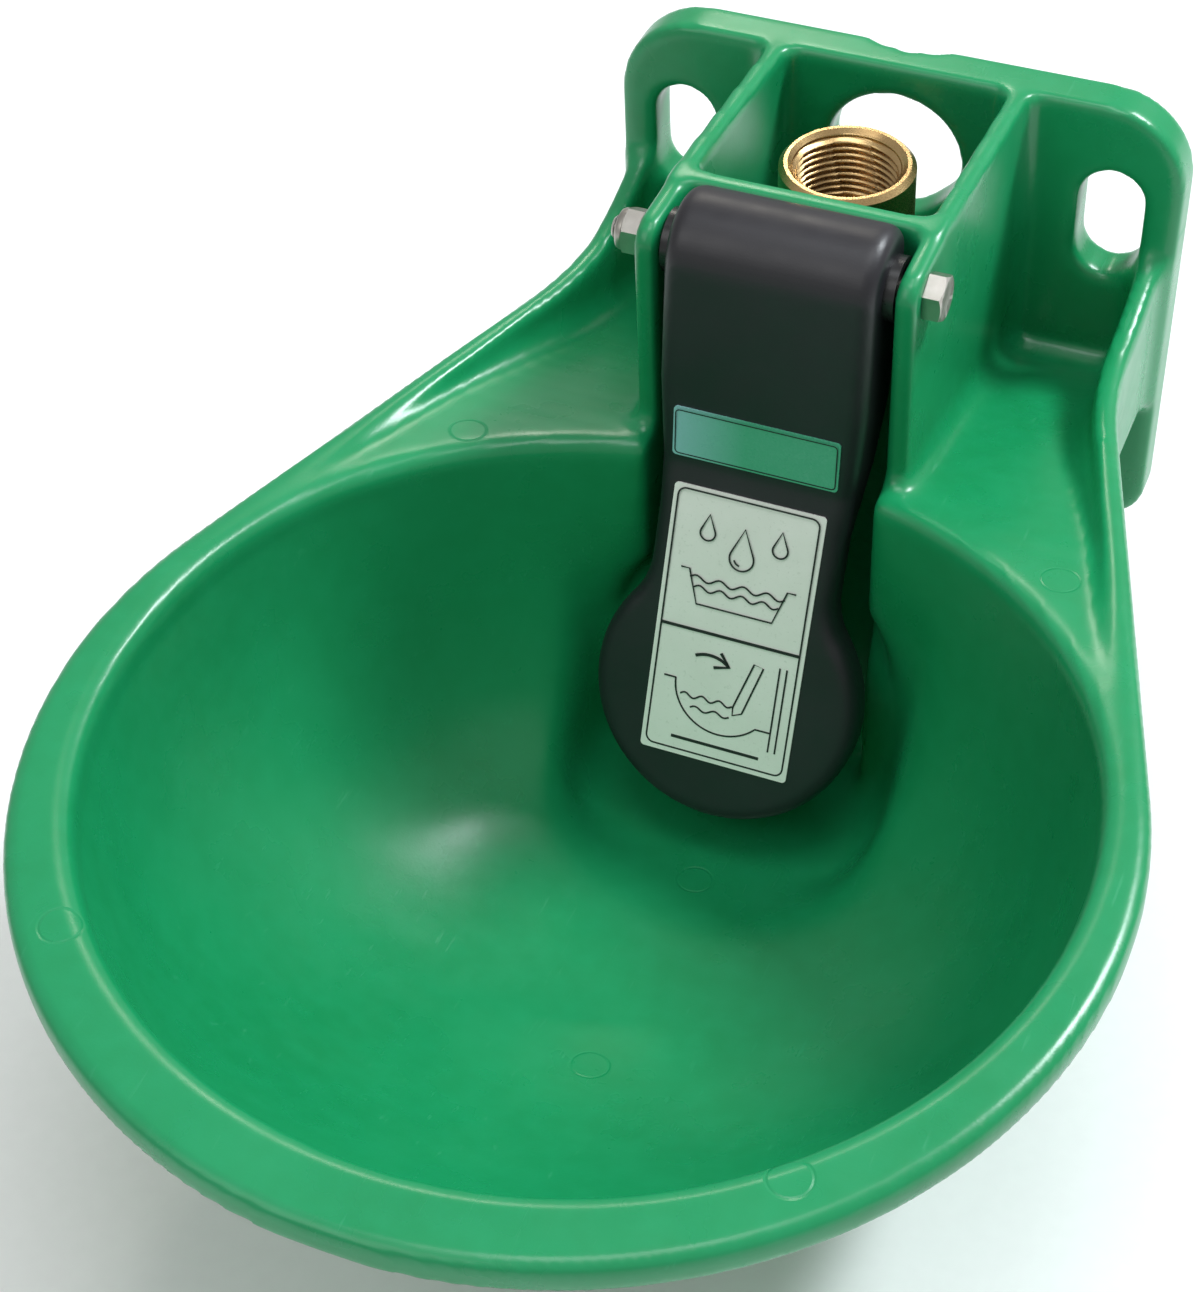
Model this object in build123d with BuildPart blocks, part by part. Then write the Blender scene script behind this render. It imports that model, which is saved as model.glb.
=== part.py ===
from build123d import *
import os
from math import acos, atan2, cos, hypot, radians, sin, sqrt, tan

# Livestock drinking bowl for wall mounting, millimetres.
# Origin: on the mounting face of the back plate, midway between the two slots.
# X to the right seen from the front, -Y towards the animal, Z up.

# ---- bowl moulding ----
WALL = 3.2                # general wall of the moulding
RIM_Z = -9.3              # rim plane below the slots
BOWL_Y = -168.2           # centre of the bowl in front of the wall
BOWL_RADIUS = 84.0        # inner edge of the rim
RIM_RADIUS = 93.3         # outer edge of the rim
RIM_SHIFT = 4.5           # the outer edge is centred this far in front of the inner
LIP_DROP = 6.5            # height of the turned-down lip
RIM_INNER_ROUND = 3.0
RIM_OUTER_ROUND = 1.5
BOWL_DEPTH = 77.0
FLOOR_RADIUS = 16.0       # flat middle of the dish
FLOOR_SHIFT = 30.0        # the deepest point lies this far behind the centre
WELL_DEPTH = 82.0         # the well under the paddle
WELL_RADIUS = 31.0        # at its floor
WELL_FORWARD = 32.0       # well centre in front of the pivot axis
WELL_DRAFT = 8.0          # degrees
WELL_ROUND = 9.0

# ---- back plate ----
PLATE_THICKNESS = 10.0
PLATE_WIDTH = 116.2
PLATE_TOP = 26.5
PLATE_BOTTOM = -73.3
PLATE_CORNER = 17.0
PLATE_FOOT_CORNER = 8.0
SLOT_SPACING = 88.6
SLOT_WIDTH = 12.8
SLOT_LENGTH = 24.2
PIPE_HOLE_DIAMETER = 27.5
PIPE_HOLE_Z = 5.8
GROOVE_RADIUS = 17.0      # groove in the mounting face for a round post
GROOVE_DEPTH = 2.6

# ---- decks and side walls between bowl and plate ----
SIDE_WALL = 4.8
SIDE_INSET = 2.0          # side walls inside the plate's edge
SIDE_STRAIGHT = 21.0      # they run straight for this length in front of the plate
SIDE_BEND = 80.0          # radius of their bend, seen from above
SIDE_FOOT_Z = -41.0       # lower edge of the side walls at the plate
DECK_FALL = 25.0          # the decks fall this much from the rim to the plate
DECK_START = 20.0         # where the fall starts, behind the bowl centre
SIDE_SWEEP = 30.0         # length of the side walls' rise to the plate
SIDE_TOP_Z = -4.0         # where that rise meets the plate
SIDE_DIP = 2.0            # the side walls dip this much before they rise

# ---- paddle housing ----
CHEEK_GAP = 44.8          # inside width between the cheeks
CHEEK = 4.2
CROSS_WALL = 4.5
CROSS_WALL_BEHIND = 8.7   # front face of the cross wall behind the pivot axis
HOUSING_ABOVE = 7.1       # housing top above the pivot axis
EAR_REACH = 8.0           # ears in front of the pivot axis
EAR_ROUND = 5.0
RIB_FOOT_RISE = 20.0      # foot of the ribs above the well's floor
BAY_CLEARANCE = 3.0       # round the paddle's disc, in the bay behind it
CHANNEL_KNEE = 20.0       # below the valve axis the channel's back wall slopes forward
CHANNEL_TOE = 6.0         # and ends this far behind the bowl's edge

# ---- pivot ----
PIVOT_Y = -72.6
PIVOT_Z = 23.7
BOLT_DIAMETER = 5.0
BOLT_CLEARANCE = 0.15     # radial, in the cheeks
HEAD_FLATS = 8.0
HEAD_HEIGHT = 3.5
NUT_HEIGHT = 4.0
INSERT_HEIGHT = 1.3
INSERT_DIAMETER = 6.6
BOLT_TAIL = 1.2
BUSH_DIAMETER = 8.0
BUSH_LENGTH = 6.0
BUSH_FLANGE = 12.0
BUSH_FLANGE_THICKNESS = 2.0
RUNNING_FIT = 0.05        # radial, bolt in bushes and stem in its guides

# ---- paddle ----
PADDLE_SHELL = 2.6
PADDLE_ROUND = 3.0        # front edges, limited by the shell
ROLL_RADIUS = 10.8        # rounded top, centred on the pivot
ROLL_BACK = 7.2           # the roll is cut flat this far behind the pivot axis
FACE_LEAN = 7.2           # degrees, upper face
FOOT_LEAN = 22.4          # degrees, lower face
BEND_BELOW = 38.0         # bend between the two faces, below the pivot
STEM_TOP_HALF = 20.0
STEM_LOW_HALF = 18.4
STEM_LOW_BELOW = 46.0
DISC_RADIUS = 26.6
DISC_BELOW = 79.5         # disc centre below the pivot
STEM_DEPTH = 13.0
DISC_SKIRT = 7.5
NECK_BLEND = 14.0
PAD_DIAMETER = 9.0        # boss that pushes the valve stem
PAD_CLEARANCE = 3.0       # left between boss and valve neck at full travel

# ---- valve ----
VALVE_LEVER = 41.0        # valve axis below the pivot
INLET_BEHIND = 34.0       # inlet axis behind the pivot axis
INLET_RISE = 40.7         # inlet mouth above the valve axis
INLET_DIAMETER = 26.0
INLET_THREAD = 20.96      # G 1/2 major diameter
INLET_THREAD_LENGTH = 15.0
INLET_CHAMFER = 0.8
INLET_BORE = 15.0
CHAMBER_DIAMETER = 24.0
CHAMBER_BORE = 18.0
CHAMBER_LENGTH = 30.0
VALVE_FLANGE = 30.0
VALVE_FLANGE_THICKNESS = 3.0
GASKET = 1.5
NECK_DIAMETER = 18.0
NECK_BORE = 12.0
NECK_CLEARANCE = 0.2
NECK_REACH = 9.5          # neck in front of the cross wall
LOCK_NUT_FLATS = 24.0
LOCK_NUT_HEIGHT = 5.5
WASHER_THICKNESS = 1.0
WASHER_DIAMETER = 27.0
SEAT_BORE = 9.0
SEAT_LENGTH = 4.0
SEAT_BACK = 6.5           # rear face of the seat behind the valve's flange face
SEAL_THICKNESS = 2.2
POPPET_DIAMETER = 14.6
POPPET_THICKNESS = 2.5
STEM_DIAMETER = 5.0
TIP_GAP = 0.3
TIP_ROUND = 1.2
GUIDE_LENGTH = 3.0
GUIDE_HOLES = 4
GUIDE_HOLE = 2.2
PLUG_FLATS = 22.0
PLUG_HEAD = 6.0
PLUG_SHANK = 7.0
PLUG_SEAL = 1.2
SPRING_WIRE = 1.2
SPRING_DIAMETER = 11.0    # outside
SPRING_COILS = 4
STRAINER_THICKNESS = 1.2
STRAINER_SEAT = 0.6       # radial step from the thread down to the strainer's seat
STRAINER_CLEARANCE = 0.2
STRAINER_HOLE = 2.0
STRAINER_PITCH = 3.5      # from one ring of holes to the next
STRAINER_RINGS = 2

# ---- labels ----
LABEL_THICKNESS = 0.35
NAME_LABEL_WIDTH = 32.4
NAME_LABEL_HEIGHT = 10.6
GUIDE_LABEL_WIDTH = 30.0
GUIDE_LABEL_HEIGHT = 55.0
LABEL_CORNER = 0.8
NAME_LABEL_TO_BEND = 1.4  # lower edge of the name label above the bend
GUIDE_LABEL_TO_BEND = 4.1 # upper edge of the guide label below the bend

# ---- travel ----
PADDLE_TRAVEL = 6.0       # degrees

# ---- derived places ----
PLATE_FRONT = -PLATE_THICKNESS
HALF_PLATE = PLATE_WIDTH / 2
CHEEK_IN = CHEEK_GAP / 2
CHEEK_OUT = CHEEK_IN + CHEEK
CROSS_FRONT_Y = PIVOT_Y + CROSS_WALL_BEHIND
CROSS_REAR_Y = CROSS_FRONT_Y + CROSS_WALL
HOUSING_TOP = PIVOT_Z + HOUSING_ABOVE
BOWL_BACK_Y = BOWL_Y + BOWL_RADIUS
RIM_Y = BOWL_Y - RIM_SHIFT
WELL_Y = PIVOT_Y - WELL_FORWARD
WELL_FLOOR = RIM_Z - WELL_DEPTH
DISC_Z = PIVOT_Z - DISC_BELOW
VALVE_Z = PIVOT_Z - VALVE_LEVER
INLET_Y = PIVOT_Y + INLET_BEHIND
INLET_TOP = VALVE_Z + INLET_RISE
FLANGE_Y = CROSS_REAR_Y + GASKET
CHAMBER_REAR_Y = FLANGE_Y + VALVE_FLANGE_THICKNESS + CHAMBER_LENGTH
NECK_END_Y = CROSS_FRONT_Y - NECK_REACH
NAME_LABEL_BELOW = BEND_BELOW - (NAME_LABEL_TO_BEND + NAME_LABEL_HEIGHT / 2) * cos(radians(FACE_LEAN))
SEAT_Y = FLANGE_Y + SEAT_BACK
STEM_TRAVEL = VALVE_LEVER * radians(PADDLE_TRAVEL)
PAD_Y = NECK_END_Y - STEM_TRAVEL - PAD_CLEARANCE
BEYOND = 300.0            # longer than anything it cuts


def prism_along_x(points, half_width):
    """A prism along X over a side profile given as (y, z) points."""
    with BuildPart() as prism:
        with BuildSketch(Plane.YZ):
            with BuildLine():
                Polyline(*points, close=True)
            make_face()
        extrude(amount=half_width, both=True)
    return prism.part


def turned(y_start, y_end, outer, inner=0.0, centre=(0.0, VALVE_Z)):
    """A ring or disc about an axis along Y, from y_start back to y_end."""
    with BuildPart() as ring:
        with BuildSketch(Plane((centre[0], y_end, centre[1]), x_dir=(1, 0, 0), z_dir=(0, -1, 0))):
            Circle(outer)
            if inner:
                Circle(inner, mode=Mode.SUBTRACT)
        extrude(amount=y_end - y_start)
    return ring.part


def plan_outline():
    """Plan of the rim, the bent side walls and the front of the plate."""
    side_x = HALF_PLATE - SIDE_INSET
    bend_end = PLATE_FRONT - SIDE_STRAIGHT
    bend_x = side_x + SIDE_BEND
    reach = hypot(bend_x, bend_end - RIM_Y)
    aim = atan2(bend_end - RIM_Y, bend_x)
    turn = aim - acos((RIM_RADIUS + SIDE_BEND) / reach)
    rim_x = RIM_RADIUS * cos(turn)
    rim_y = RIM_Y + RIM_RADIUS * sin(turn)
    start_x = bend_x - SIDE_BEND * cos(turn)
    start_y = bend_end - SIDE_BEND * sin(turn)
    with BuildSketch() as outline:
        with BuildLine():
            Line((rim_x, rim_y), (start_x, start_y))
            RadiusArc((start_x, start_y), (side_x, bend_end), SIDE_BEND)
            Line((side_x, bend_end), (side_x, PLATE_FRONT + 1))
            Line((side_x, PLATE_FRONT + 1), (-side_x, PLATE_FRONT + 1))
            Line((-side_x, PLATE_FRONT + 1), (-side_x, bend_end))
            RadiusArc((-side_x, bend_end), (-start_x, start_y), SIDE_BEND)
            Line((-start_x, start_y), (-rim_x, rim_y))
            ThreePointArc((-rim_x, rim_y), (0, RIM_Y - RIM_RADIUS), (rim_x, rim_y))
        make_face()
    return outline.sketch


def deck_profile(lower):
    """Side profile under the rim plane and the falling decks, lowered by a wall."""
    with BuildSketch() as profile:
        with BuildLine():
            start = (BOWL_Y + DECK_START, RIM_Z - lower)
            end = (PLATE_FRONT + 1, RIM_Z - DECK_FALL - lower)
            Line((BOWL_Y - BEYOND, RIM_Z - lower), start)
            TangentArc(start, end, tangent=(1, 0))
            Polyline(end, (PLATE_FRONT + 1, -BEYOND), (BOWL_Y - BEYOND, -BEYOND))
            Line((BOWL_Y - BEYOND, -BEYOND), (BOWL_Y - BEYOND, RIM_Z - lower))
        make_face()
    return profile.sketch


def dish(grow):
    """The bowl hollow, grown outwards by a wall, its low point set back."""
    steps = 6
    with BuildPart() as hollow:
        for step in range(steps + 1):
            angle = radians(90 * step / steps)
            radius = FLOOR_RADIUS + (BOWL_RADIUS - FLOOR_RADIUS) * cos(angle) + grow
            centre = BOWL_Y + FLOOR_SHIFT * sin(angle) ** 2
            depth = (BOWL_DEPTH + grow) * sin(angle)
            with BuildSketch(Plane.XY.offset(RIM_Z - depth)):
                with Locations((0, centre)):
                    Circle(radius)
        loft()
    return hollow.part


def well(grow):
    """The round well under the paddle, grown outwards by a wall."""
    with BuildPart() as pocket:
        with BuildSketch(Plane.XY.offset(WELL_FLOOR - grow)):
            with Locations((0, WELL_Y)):
                Circle(WELL_RADIUS + grow)
        extrude(amount=WELL_DEPTH + grow - 12, taper=-WELL_DRAFT)
        fillet(pocket.faces().sort_by(Axis.Z)[0].edges(), WELL_ROUND + grow)
        with BuildSketch(Plane.XY.offset(-BEYOND / 2)):
            with Locations((0, BOWL_Y)):
                Circle(BOWL_RADIUS - 0.5 + grow)
        extrude(amount=BEYOND, mode=Mode.INTERSECT)
    return pocket.part


def face_y(below_pivot):
    """Front face of the paddle at a height below the pivot."""
    top_y = PIVOT_Y - ROLL_RADIUS / cos(radians(FACE_LEAN))
    if below_pivot <= BEND_BELOW:
        return top_y - below_pivot * tan(radians(FACE_LEAN))
    bend = top_y - BEND_BELOW * tan(radians(FACE_LEAN))
    return bend - (below_pivot - BEND_BELOW) * tan(radians(FOOT_LEAN))


TOE_BELOW = DISC_BELOW + DISC_RADIUS * cos(radians(FOOT_LEAN)) + 4
FOOT_PLANE = Plane((0, face_y(DISC_BELOW), DISC_Z), x_dir=(1, 0, 0),
                   z_dir=(0, -cos(radians(FOOT_LEAN)), sin(radians(FOOT_LEAN))))
FACE_PLANE = Plane((0, face_y(NAME_LABEL_BELOW), PIVOT_Z - NAME_LABEL_BELOW), x_dir=(1, 0, 0),
                   z_dir=(0, -cos(radians(FACE_LEAN)), sin(radians(FACE_LEAN))))


def bay(grow):
    """Room for the disc to swing back, cut square to the paddle's foot."""
    depth = DISC_SKIRT + DISC_BELOW * sin(radians(PADDLE_TRAVEL)) + BAY_CLEARANCE / 2
    with BuildPart() as room:
        with BuildSketch(FOOT_PLANE.offset(-depth - grow)):
            Circle(DISC_RADIUS + BAY_CLEARANCE + grow)
        extrude(amount=depth + 10)
    return room.part


def rim_edges(builder, centre_y, radius):
    """The arcs of one radius about the bowl's axis that lie in the rim plane."""
    arcs = []
    for edge in builder.edges().filter_by_position(Axis.Z, RIM_Z - 0.1, RIM_Z + 0.1):
        reaches = [hypot(point.X, point.Y - centre_y) for point in (edge @ 0, edge @ 0.5, edge @ 1)]
        if max(reaches) - min(reaches) < 0.1 and abs(reaches[0] - radius) < 0.1:
            arcs.append(edge)
    return arcs


def recess_points(grow, top):
    """Side profile of the channel between the cheeks."""
    back = CROSS_FRONT_Y + grow
    knee = VALVE_Z - CHANNEL_KNEE
    toe = BOWL_BACK_Y + CHANNEL_TOE + grow
    floor = WELL_FLOOR - grow
    return [(back, top), (back, knee), (toe, floor), (WELL_Y, floor), (WELL_Y, top)]


# ============================================================ bowl body
with BuildPart() as side_profile:
    # side view of the walls: lip in front, skirt below, sweep up to the plate
    sweep_y = PLATE_FRONT - SIDE_SWEEP
    front_y = RIM_Y - 2 * RIM_RADIUS
    with BuildSketch(Plane.YZ):
        with BuildLine():
            Polyline((front_y, RIM_Z), (BOWL_Y + DECK_START, RIM_Z), (sweep_y, RIM_Z - SIDE_DIP))
            TangentArc((sweep_y, RIM_Z - SIDE_DIP), (PLATE_FRONT + 1, SIDE_TOP_Z), tangent=(1, 0))
            Polyline(
                (PLATE_FRONT + 1, SIDE_TOP_Z),
                (PLATE_FRONT + 1, SIDE_FOOT_Z),
                (BOWL_BACK_Y, SIDE_FOOT_Z),
                (BOWL_Y, RIM_Z - LIP_DROP),
                (front_y, RIM_Z - LIP_DROP),
                (front_y, RIM_Z),
            )
        make_face()
    extrude(amount=BEYOND, both=True)

with BuildPart() as side_walls:
    with BuildSketch(Plane.XY.offset(-BEYOND / 2)):
        add(plan_outline())
        offset(amount=-SIDE_WALL, mode=Mode.SUBTRACT)
    extrude(amount=BEYOND)
    add(side_profile.part, mode=Mode.INTERSECT)
    # open towards the plate
    with Locations((0, PLATE_FRONT, 0)):
        Box(2 * (HALF_PLATE - SIDE_INSET - SIDE_WALL), 2 * SIDE_WALL, BEYOND, mode=Mode.SUBTRACT)

with BuildPart() as deck:
    # rim band and falling decks as one sheet
    with BuildSketch(Plane.XY.offset(-BEYOND / 2)):
        add(plan_outline())
        offset(amount=-SIDE_WALL / 2)
    extrude(amount=BEYOND)
    with BuildSketch(Plane.YZ):
        add(deck_profile(0))
    extrude(amount=BEYOND, both=True, mode=Mode.INTERSECT)
    with BuildSketch(Plane.YZ):
        add(deck_profile(WALL))
    extrude(amount=BEYOND, both=True, mode=Mode.SUBTRACT)

with BuildPart() as below_deck:
    with BuildSketch(Plane.YZ):
        add(deck_profile(0))
    extrude(amount=BEYOND, both=True)

with BuildPart() as ribs:
    # cheeks of the housing and the ribs that tie them to the plate
    ear_y = PIVOT_Y - EAR_REACH
    with BuildSketch(Plane.YZ):
        with BuildLine():
            Polyline(
                (PLATE_FRONT + 1, PLATE_TOP),
                (CROSS_REAR_Y, HOUSING_TOP),
                (ear_y, HOUSING_TOP - 1),
                (ear_y, WELL_FLOOR + RIB_FOOT_RISE),
                (PLATE_FRONT + 1, PLATE_BOTTOM + RIB_FOOT_RISE / 2),
                close=True,
            )
        make_face()
    extrude(amount=CHEEK_OUT, both=True)
    with Locations((0, ear_y, 0)):
        Box(CHEEK_GAP, BEYOND, BEYOND, mode=Mode.SUBTRACT)
    fillet(ribs.edges().filter_by(Axis.X).group_by(Axis.Z)[-2].sort_by(Axis.Y)[:2], EAR_ROUND)

with BuildPart() as bowl_hull:
    # outer skin of dish, well and channel, trimmed under the decks
    add(dish(WALL))
    add(well(WALL))
    add(bay(WALL))
    add(prism_along_x(recess_points(CROSS_WALL, HOUSING_TOP), CHEEK_OUT))
    add(below_deck.part, mode=Mode.INTERSECT)

with BuildPart() as bowl_body:
    with BuildSketch(Plane.XZ):
        with Locations((0, (PLATE_TOP + PLATE_BOTTOM) / 2)):
            Rectangle(PLATE_WIDTH, PLATE_TOP - PLATE_BOTTOM)
    extrude(amount=PLATE_THICKNESS)
    fillet(bowl_body.edges().filter_by(Axis.Y).group_by(Axis.Z)[-1], PLATE_CORNER)
    fillet(bowl_body.edges().filter_by(Axis.Y).group_by(Axis.Z)[0], PLATE_FOOT_CORNER)
    add(deck.part)
    add(side_walls.part)
    add(ribs.part)
    add(bowl_hull.part)
    # cross wall between the cheeks
    with Locations((0, CROSS_FRONT_Y, HOUSING_TOP)):
        Box(2 * CHEEK_OUT, CROSS_WALL, HOUSING_TOP - VALVE_Z + VALVE_FLANGE / 2,
            align=(Align.CENTER, Align.MIN, Align.MAX))
    # compartment for the valve, open above and below
    with Locations((0, (CROSS_REAR_Y + PLATE_FRONT) / 2, (HOUSING_TOP + SIDE_FOOT_Z) / 2)):
        Box(CHEEK_GAP, PLATE_FRONT - CROSS_REAR_Y, HOUSING_TOP - SIDE_FOOT_Z + 12,
            mode=Mode.SUBTRACT)
    # hollows
    add(dish(0), mode=Mode.SUBTRACT)
    add(well(0), mode=Mode.SUBTRACT)
    add(bay(0), mode=Mode.SUBTRACT)
    add(prism_along_x(recess_points(0, BEYOND), CHEEK_IN), mode=Mode.SUBTRACT)
    # mounting slots, pipe hole and post groove
    with BuildSketch(Plane.XZ):
        with Locations((-SLOT_SPACING / 2, 0), (SLOT_SPACING / 2, 0)):
            SlotOverall(SLOT_LENGTH, SLOT_WIDTH, rotation=90)
        with Locations((0, PIPE_HOLE_Z)):
            Circle(PIPE_HOLE_DIAMETER / 2)
    extrude(amount=PLATE_THICKNESS, mode=Mode.SUBTRACT)
    with BuildSketch(Plane.XY.offset(-BEYOND / 2)):
        with Locations((0, GROOVE_RADIUS - GROOVE_DEPTH)):
            Circle(GROOVE_RADIUS)
    extrude(amount=BEYOND, mode=Mode.SUBTRACT)
    # valve neck through the cross wall, pivot bolt through the cheeks
    add(turned(CROSS_FRONT_Y - 1, CROSS_REAR_Y + 1, NECK_DIAMETER / 2 + NECK_CLEARANCE),
        mode=Mode.SUBTRACT)
    with Locations(Plane((0, PIVOT_Y, PIVOT_Z), z_dir=(1, 0, 0))):
        Cylinder(BOLT_DIAMETER / 2 + BOLT_CLEARANCE, 4 * CHEEK_OUT, mode=Mode.SUBTRACT)
    # rounded rim
    fillet(rim_edges(bowl_body, RIM_Y, RIM_RADIUS), RIM_OUTER_ROUND)
    fillet(rim_edges(bowl_body, BOWL_Y, BOWL_RADIUS), RIM_INNER_ROUND)

# ============================================================ paddle
def paddle_side(inset):
    """Side view of the paddle, inset from its faces by the shell and open behind."""
    open_back = 12.0 if inset else 0.0
    foot = radians(FOOT_LEAN)
    lean = radians(FACE_LEAN)
    roll = ROLL_RADIUS - inset
    roll_back = PIVOT_Y + ROLL_BACK
    crown = (roll_back, PIVOT_Z + sqrt(roll**2 - ROLL_BACK**2))
    start = (PIVOT_Y - roll * cos(lean), PIVOT_Z + roll * sin(lean))
    bend = (face_y(BEND_BELOW) + inset, PIVOT_Z - BEND_BELOW)
    toe = (face_y(TOE_BELOW) + inset / cos(foot), PIVOT_Z - TOE_BELOW)
    skirt_back = face_y(TOE_BELOW) + DISC_SKIRT / cos(foot) + open_back
    heel_back = face_y(STEM_LOW_BELOW + 4) + DISC_SKIRT / cos(foot) + open_back
    knee_back = face_y(BEND_BELOW) + STEM_DEPTH + open_back
    outline = [
        start,
        bend,
        toe,
        (skirt_back, PIVOT_Z - TOE_BELOW),
        (heel_back, PIVOT_Z - STEM_LOW_BELOW - 4),
        (knee_back, PIVOT_Z - BEND_BELOW),
        (roll_back + open_back, PIVOT_Z - ROLL_RADIUS),
    ]
    if inset:
        outline.append((roll_back + open_back, crown[1]))
    with BuildSketch() as side:
        with BuildLine():
            ThreePointArc(crown, (PIVOT_Y, PIVOT_Z + roll), start)
            Polyline(*outline, crown)
        make_face()
    return side.sketch


def paddle_front(inset):
    """Front view of stem and disc on the foot plane, inset by the shell."""
    rise = (DISC_BELOW + ROLL_RADIUS + 8) / cos(radians(FOOT_LEAN))
    low = (DISC_BELOW - STEM_LOW_BELOW) / cos(radians(FOOT_LEAN))
    with BuildSketch() as front:
        Circle(DISC_RADIUS - inset)
        with BuildLine():
            Polyline(
                (-STEM_LOW_HALF + inset, 0),
                (-STEM_LOW_HALF + inset, low),
                (-STEM_TOP_HALF + inset, low * 1.7),
                (-STEM_TOP_HALF + inset, rise),
                (STEM_TOP_HALF - inset, rise),
                (STEM_TOP_HALF - inset, low * 1.7),
                (STEM_LOW_HALF - inset, low),
                (STEM_LOW_HALF - inset, 0),
                close=True,
            )
        make_face()
        corners = front.vertices().filter_by_position(Axis.Y, 1, low - 1)
        fillet(corners, NECK_BLEND)
    return front.sketch


def paddle_block(inset):
    with BuildPart() as block:
        with BuildSketch(Plane.YZ):
            add(paddle_side(inset))
        extrude(amount=DISC_RADIUS + 2, both=True)
        with BuildSketch(FOOT_PLANE):
            add(paddle_front(inset))
        extrude(amount=BEYOND / 2, both=True, mode=Mode.INTERSECT)
    return block.part


def front_rim(block):
    """The edges where the rolled top and the two front faces meet the sides."""
    faces = [face for face in block.faces()
             if face.normal_at().Y < -0.9 or face.geom_type == GeomType.CYLINDER
             and face.normal_at().Z > 0.9]
    inner = {edge for face in faces for edge in face.edges().filter_by(Axis.X)}
    return [edge for face in faces for edge in face.edges() if edge not in inner]


with BuildPart() as paddle:
    add(paddle_block(0))
    fillet(front_rim(paddle), PADDLE_ROUND)
    add(paddle_block(PADDLE_SHELL), mode=Mode.SUBTRACT)
    # bearing bosses inside the rolled top
    for side in (-1, 1):
        with BuildSketch(Plane((side * STEM_TOP_HALF, PIVOT_Y, PIVOT_Z), z_dir=(-side, 0, 0))):
            Circle(BUSH_DIAMETER / 2 + PADDLE_SHELL)
        extrude(amount=BUSH_LENGTH)
    with Locations(Plane((0, PIVOT_Y, PIVOT_Z), z_dir=(1, 0, 0))):
        Cylinder(BUSH_DIAMETER / 2, 4 * STEM_TOP_HALF, mode=Mode.SUBTRACT)
    # boss that pushes the stem
    add(turned(face_y(VALVE_LEVER) + PADDLE_SHELL / 2, PAD_Y, PAD_DIAMETER / 2))

# ============================================================ labels
with BuildPart() as name_label:
    with BuildSketch(FACE_PLANE):
        RectangleRounded(NAME_LABEL_WIDTH, NAME_LABEL_HEIGHT, LABEL_CORNER)
    extrude(amount=LABEL_THICKNESS)

with BuildPart() as instruction_label:
    bend_shift = (DISC_BELOW - BEND_BELOW) / cos(radians(FOOT_LEAN))
    label_shift = bend_shift - GUIDE_LABEL_TO_BEND - GUIDE_LABEL_HEIGHT / 2
    with BuildSketch(FOOT_PLANE):
        with Locations((0, label_shift)):
            RectangleRounded(GUIDE_LABEL_WIDTH, GUIDE_LABEL_HEIGHT, LABEL_CORNER)
    extrude(amount=LABEL_THICKNESS)


# ============================================================ pivot
def along_x(x):
    """A plane across the pivot axis, facing +X."""
    return Plane((x, PIVOT_Y, PIVOT_Z), x_dir=(0, 1, 0), z_dir=(1, 0, 0))


NUT_FACE = -CHEEK_OUT
INSERT_FACE = NUT_FACE - NUT_HEIGHT
BOLT_END = INSERT_FACE - INSERT_HEIGHT - BOLT_TAIL

with BuildPart() as pivot_bolt:
    with BuildSketch(along_x(BOLT_END)):
        Circle(BOLT_DIAMETER / 2)
    extrude(amount=CHEEK_OUT - BOLT_END)
    with BuildSketch(along_x(CHEEK_OUT)):
        RegularPolygon(HEAD_FLATS / 2, 6, major_radius=False)
    extrude(amount=HEAD_HEIGHT)
    chamfer(pivot_bolt.faces().sort_by(Axis.X)[0].edges(), 0.6)

with BuildPart() as pivot_nut:
    with BuildSketch(along_x(NUT_FACE - NUT_HEIGHT)):
        RegularPolygon(HEAD_FLATS / 2, 6, major_radius=False)
        Circle(BOLT_DIAMETER / 2, mode=Mode.SUBTRACT)
    extrude(amount=NUT_HEIGHT)
    with BuildSketch(along_x(INSERT_FACE - INSERT_HEIGHT)):
        Circle(HEAD_FLATS / 2 - 0.2)
        Circle(INSERT_DIAMETER / 2, mode=Mode.SUBTRACT)
    extrude(amount=INSERT_HEIGHT)

with BuildPart() as nut_insert:
    with BuildSketch(along_x(INSERT_FACE - INSERT_HEIGHT)):
        Circle(INSERT_DIAMETER / 2)
        Circle(BOLT_DIAMETER / 2, mode=Mode.SUBTRACT)
    extrude(amount=INSERT_HEIGHT)


def pivot_bush(side):
    with BuildPart() as bush:
        with BuildSketch(Plane((side * STEM_TOP_HALF, PIVOT_Y, PIVOT_Z), z_dir=(-side, 0, 0))):
            Circle(BUSH_DIAMETER / 2)
        extrude(amount=BUSH_LENGTH)
        with BuildSketch(Plane((side * STEM_TOP_HALF, PIVOT_Y, PIVOT_Z), z_dir=(side, 0, 0))):
            Circle(BUSH_FLANGE / 2)
        extrude(amount=BUSH_FLANGE_THICKNESS)
        with Locations(Plane((0, PIVOT_Y, PIVOT_Z), z_dir=(1, 0, 0))):
            Cylinder(BOLT_DIAMETER / 2 + RUNNING_FIT, 4 * STEM_TOP_HALF, mode=Mode.SUBTRACT)
    return bush


pivot_bush_left = pivot_bush(-1)
pivot_bush_right = pivot_bush(1)

# ============================================================ valve
POPPET_FRONT = SEAT_Y + SEAL_THICKNESS
POPPET_REAR = POPPET_FRONT + POPPET_THICKNESS
PLUG_FRONT = CHAMBER_REAR_Y - PLUG_SHANK
PLUG_HEAD_Y = CHAMBER_REAR_Y + PLUG_SEAL
THREAD_FLOOR = INLET_TOP - INLET_THREAD_LENGTH
STRAINER_FLOOR = THREAD_FLOOR - STRAINER_THICKNESS
STRAINER_RADIUS = INLET_THREAD / 2 - STRAINER_SEAT - STRAINER_CLEARANCE

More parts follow.
